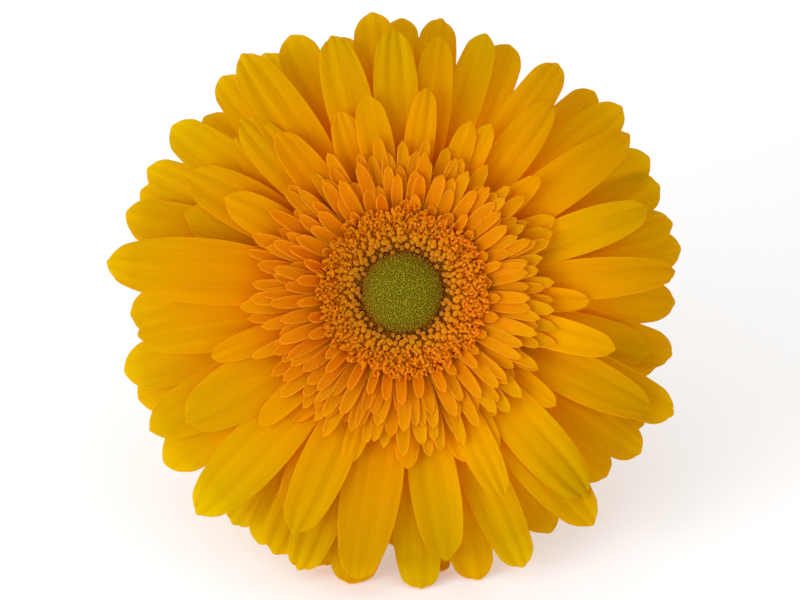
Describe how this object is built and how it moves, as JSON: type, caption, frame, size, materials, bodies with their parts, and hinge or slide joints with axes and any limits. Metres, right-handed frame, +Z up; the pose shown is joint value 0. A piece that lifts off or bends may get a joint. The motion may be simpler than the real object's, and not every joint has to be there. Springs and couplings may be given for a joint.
{
  "type": "cut gerbera",
  "caption": "Double gerbera bloom on a short leafless cut stem, lying down with its face turned up towards the viewer.",
  "frame": {"origin": "on the table, midway along the flower's length and width", "axes": "+Z up from the table, -Y the way the bloom looks (30 degrees above level), +Y along the stem to its cut end"},
  "size_m": [0.114, 0.2316, 0.0986],
  "materials": {
    "ray_petal": "soft matte petal, golden yellow, orange at the root",
    "trans_petal": "soft matte petal, deep orange with a paler rim",
    "disc_floret": "matte, orange-yellow with red-brown hollows",
    "disc_bud": "matte, finely knobbed olive green",
    "bract": "matte green, finely downy",
    "stem": "matte pale green, ribbed and downy"
  },
  "bodies": {
    "root": {"ray_florets": "ray_petal", "trans_florets": "trans_petal", "disc_florets": "disc_floret", "disc_buds": "disc_bud", "involucre": "bract", "stem": "stem"}
  },
  "joints": []
}
